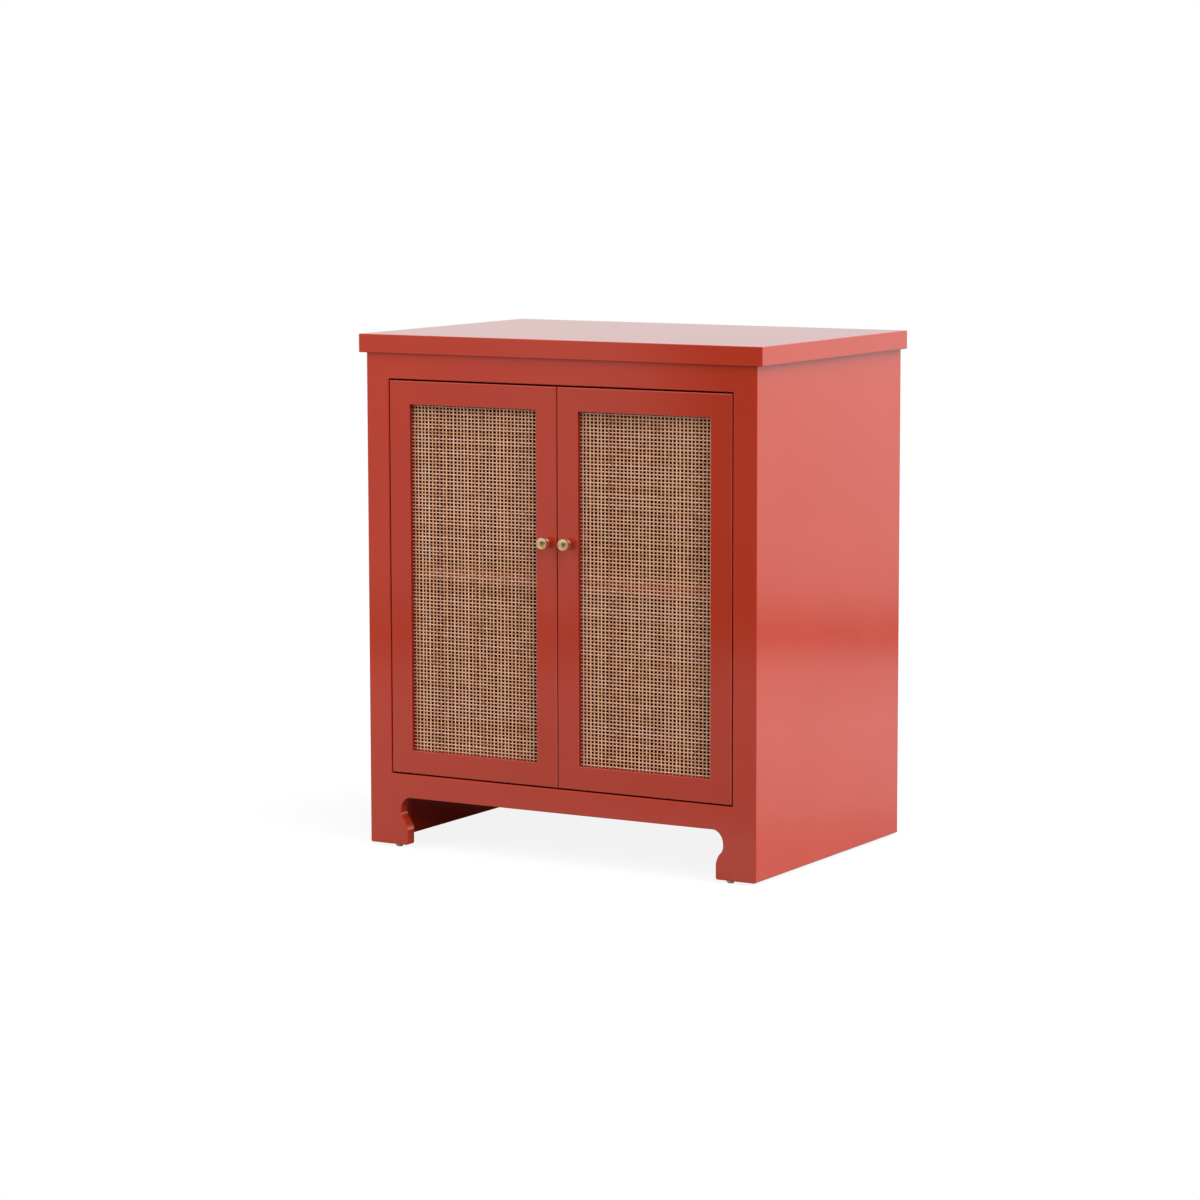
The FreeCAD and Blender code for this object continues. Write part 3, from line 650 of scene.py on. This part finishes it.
def strand(picker, place, crossings, parity, width, stray, tone):
    """One flat strand as rings of (along, across, out) points, and its tone. It passes in front
    of one crossing strand and behind the next."""
    step = crossings[1] - crossings[0]
    count = (len(crossings) + 1) * steps_per_crossing
    start = crossings[0] - step
    own_width = width * (1 + picker.uniform(-width_stray_share, width_stray_share))
    shift = picker.uniform(-stray, stray)
    phases = [picker.uniform(0, math.tau) for _ in range(3)]
    rings = []
    for k in range(count + 1):
        along = start + k * step / steps_per_crossing
        turn = math.pi * (k / steps_per_crossing - 1 + parity)
        wander = wave(wide_wander, along, phases[0]) + wave(fine_wander, along, phases[1])
        half = own_width / 2 * (1 + wave(width_swell, along, phases[2]))
        centre = place + shift + wander
        rise = weave_rise * math.cos(turn)
        crown = strand_thickness / 2
        rings.append([
            (along, centre - half, rise),
            (along, centre, rise + crown),
            (along, centre + half, rise),
            (along, centre, rise - crown),
        ])
    return rings, tone


def wave(kind, along, phase):
    """The height of a wave, which has a size and a number of radians to the metre."""
    size, rate = kind
    return size * math.sin(along * rate + phase)


def build_strands(side, name, strands, axes, look):
    """A mesh of strands. axes are the indexes of the along and across axes."""
    low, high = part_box(side + "_cane_panel")
    middle = (low + high) / 2
    along_axis, across_axis = axes
    first, last = low[along_axis] + strand_end_gap, high[along_axis] - strand_end_gap
    points, faces, tones = [], [], []
    for rings, tone in strands:
        base = len(points)
        for ring in rings:
            for along, across, out in ring:
                point = [0.0, middle.y - out, 0.0]
                point[along_axis] = min(max(along, first), last)
                point[across_axis] = across
                points.append(point)
                tones.append(tone)
        faces += tube_faces(base, len(rings))
    mesh = bpy.data.meshes.new(side + name)
    mesh.from_pydata(points, [], faces)
    mesh.attributes.new("tone", "FLOAT", "POINT").data.foreach_set("value", tones)
    mesh.shade_smooth()
    mesh.materials.append(look)
    mesh.update()
    piece = bpy.data.objects.new(side + name, mesh)
    bpy.context.scene.collection.objects.link(piece)
    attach(piece, side + "_door")
    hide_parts(side + "_cane_panel")


def tube_faces(base, rings):
    """The faces of a closed four-sided tube of rings."""
    faces = [(base, base + 1, base + 2, base + 3)]
    for k in range(rings - 1):
        near = base + 4 * k
        for j in range(4):
            following = (j + 1) % 4
            faces.append((near + j, near + 4 + j, near + 4 + following, near + following))
    far = base + 4 * (rings - 1)
    faces.append((far + 3, far + 2, far + 1, far))
    return faces


# Studio

def make_camera():
    data = bpy.data.cameras.new("camera")
    data.lens = camera_lens
    data.sensor_width = camera_sensor
    data.clip_end = camera_reach
    camera = bpy.data.objects.new("camera", data)
    turn = Matrix.Rotation(math.radians(camera_yaw), 4, "Z")
    tilt = Matrix.Rotation(math.radians(90 + camera_pitch), 4, "X")
    roll = Matrix.Rotation(math.radians(camera_roll), 4, "Z")
    camera.matrix_world = Matrix.Translation(camera_place) @ turn @ tilt @ roll
    bpy.context.scene.collection.objects.link(camera)
    bpy.context.scene.camera = camera


def seen_share(tree):
    """Whether a ray shows a thing itself, and whether it shows it in a mirror."""
    path = add(tree, "ShaderNodeLightPath").outputs
    direct = math_node(tree, "MAXIMUM", path["Is Camera Ray"], path["Is Transmission Ray"])
    return direct, path["Is Glossy Ray"]


def make_floor():
    """A pale floor. It looks white and keeps the shadow, and sends little light back up. Mirrors
    show it only near the part, and the studio's own ground beyond."""
    ring = [math.tau * i / floor_sides for i in range(floor_sides)]
    points = [(floor_radius * math.cos(a), floor_radius * math.sin(a), 0.0) for a in ring]
    mesh = bpy.data.meshes.new("floor")
    mesh.from_pydata(points, [], [tuple(range(floor_sides))])
    material = bpy.data.materials.new("floor")
    material.use_nodes = True
    tree = material.node_tree
    tree.nodes.clear()
    bounce = add(tree, "ShaderNodeBsdfDiffuse", {"Color": floor_bounce}).outputs[0]
    pale = add(tree, "ShaderNodeBsdfDiffuse", {"Color": floor_pale}).outputs[0]
    white = add(tree, "ShaderNodeBsdfDiffuse", {"Color": floor_white}).outputs[0]
    glow = add(tree, "ShaderNodeEmission", {"Strength": floor_glow}).outputs[0]
    shown = add(tree, "ShaderNodeAddShader", {0: white, 1: glow}).outputs[0]
    clear = add(tree, "ShaderNodeBsdfTransparent").outputs[0]
    place = add(tree, "ShaderNodeTexCoord").outputs["Object"]
    away = add(tree, "ShaderNodeVectorMath", {0: place}, operation="LENGTH").outputs["Value"]
    far = mapped(tree, away, floor_mirror_near, floor_mirror_far, 0, 1, True)
    mirrored = add(tree, "ShaderNodeMixShader", {0: far, 1: pale, 2: clear}).outputs[0]
    direct, glossy = seen_share(tree)
    lit = add(tree, "ShaderNodeMixShader", {0: direct, 1: bounce, 2: shown}).outputs[0]
    both = add(tree, "ShaderNodeMixShader", {0: glossy, 1: lit, 2: mirrored}).outputs[0]
    add(tree, "ShaderNodeOutputMaterial", {"Surface": both})
    mesh.materials.append(material)
    floor = bpy.data.objects.new("floor", mesh)
    bpy.context.scene.collection.objects.link(floor)


def make_world():
    """Even white to look at, a soft sky as light, and in mirrors a white studio with a dim
    wall in front and a darker seam where its floor meets its wall."""
    world = bpy.data.worlds.new("studio")
    bpy.context.scene.world = world
    world.use_nodes = True
    world.cycles.sampling_method = "NONE"
    tree = world.node_tree
    tree.nodes.clear()
    towards = add(tree, "ShaderNodeTexCoord").outputs["Generated"]
    axes = add(tree, "ShaderNodeSeparateXYZ", {"Vector": towards}).outputs
    x, y, z = axes["X"], axes["Y"], axes["Z"]
    low = mapped(tree, z, *floor_span, 1, 0, True)
    overhead = mapped(tree, z, *overhead_span, 0, 1, True)
    wall = mixed(tree, overhead, graph(tree, x, wall_shares), 1.0)
    seam = graph(tree, z, seam_shares)
    ahead = math_node(tree, "MULTIPLY", mixed(tree, low, wall, graph(tree, x, ground_shares)), seam)
    to_right = mapped(tree, x, *right_span, 0, 1, True)
    to_back = mixed(tree, to_right, behind_left_share, graph(tree, z, right_shares))
    behind = mapped(tree, y, *behind_span, 0, 1, True)
    mirrored = mixed(tree, behind, ahead, to_back)
    direct, glossy = seen_share(tree)
    strength = mixed(tree, glossy, mixed(tree, direct, sky_light, 1.0), mirrored)
    white = (1, 1, 1, 1)
    sky = add(tree, "ShaderNodeBackground", {"Color": white, "Strength": strength}).outputs[0]
    add(tree, "ShaderNodeOutputWorld", {"Surface": sky})


def make_lamps():
    """A large soft key from the right and above, and a box lamp at the front left."""
    key = bpy.data.lights.new("key", "SUN")
    key.energy = key_light
    key.angle = math.radians(key_angle)
    aim(key, Vector(key_towards), Vector())
    box = bpy.data.lights.new("front_box", "AREA")
    box.energy = front_light
    box.size = front_size
    aim(box, Vector(front_place), Vector(front_target))


def aim(data, place, target):
    """Puts a lamp at a place, facing a target, and keeps it out of mirrors."""
    lamp = bpy.data.objects.new(data.name, data)
    lamp.location = place
    lamp.rotation_euler = (place - target).to_track_quat("Z", "Y").to_euler()
    lamp.visible_glossy = False
    bpy.context.scene.collection.objects.link(lamp)


dress_nodes()
weave("left")
weave("right")
make_camera()
make_floor()
make_world()
make_lamps()
bpy.context.scene.view_settings.view_transform = "Standard"
